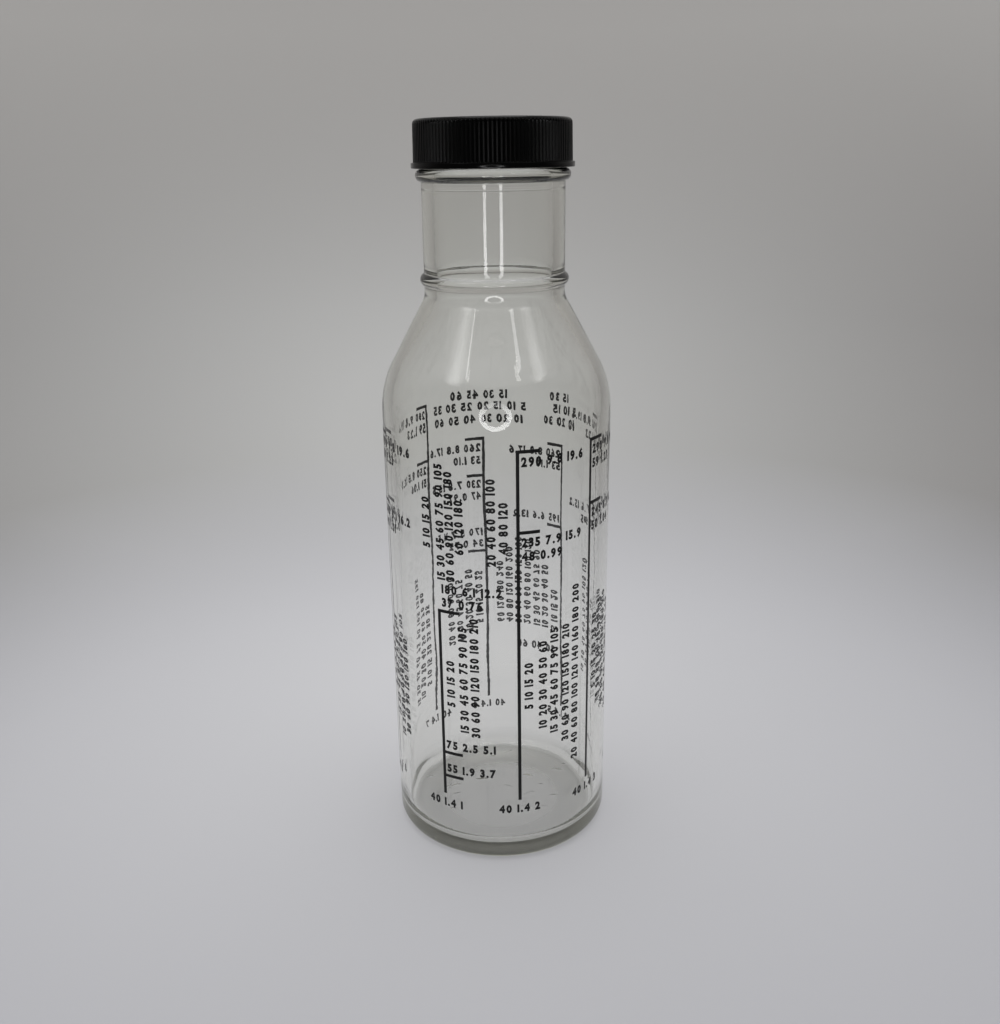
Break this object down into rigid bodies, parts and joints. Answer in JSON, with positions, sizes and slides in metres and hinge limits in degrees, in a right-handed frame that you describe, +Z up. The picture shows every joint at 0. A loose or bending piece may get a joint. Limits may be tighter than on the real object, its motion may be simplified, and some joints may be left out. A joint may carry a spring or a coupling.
{
  "type": "salad dressing shaker bottle",
  "caption": "Clear glass bottle with a straight round body, sloped shoulder, ringed neck and ribbed black screw cap, printed with upright measuring scales.",
  "frame": {"origin": "centre of the foot, on the surface that the bottle stands on", "axes": "+Z up the bottle's axis, -Y out of the front, +X to the right seen from the front"},
  "size_m": [0.0618, 0.0618, 0.197],
  "materials": {
    "clear_glass": "gloss",
    "cap_plastic": "satin",
    "liner_foam": "matte",
    "fired_enamel": "satin"
  },
  "bodies": {
    "bottle": {"glass_bottle": "clear_glass", "enamel_scale_1": "fired_enamel", "enamel_scale_2": "fired_enamel", "enamel_scale_3": "fired_enamel", "enamel_scale_4": "fired_enamel", "enamel_scale_5": "fired_enamel", "enamel_scale_6": "fired_enamel", "enamel_scale_7": "fired_enamel", "enamel_scale_8": "fired_enamel"},
    "liner": {"cap_liner": "liner_foam"},
    "cap": {"screw_cap": "cap_plastic"}
  },
  "joints": [
    {"name": "cap_lift", "type": "slide", "parent": "bottle", "child": "liner", "axis": [0, 0, 1], "range_m": [0, 0.014]},
    {"name": "cap_turn", "type": "hinge", "parent": "liner", "child": "cap", "pos_m": [0, 0, 0.19], "axis": [0, 0, 1], "range_deg": [0, 1188]}
  ],
  "couplings": [
    {"joint": "cap_lift", "follows": "cap_turn", "m_per_rad": 0.00067376}
  ]
}
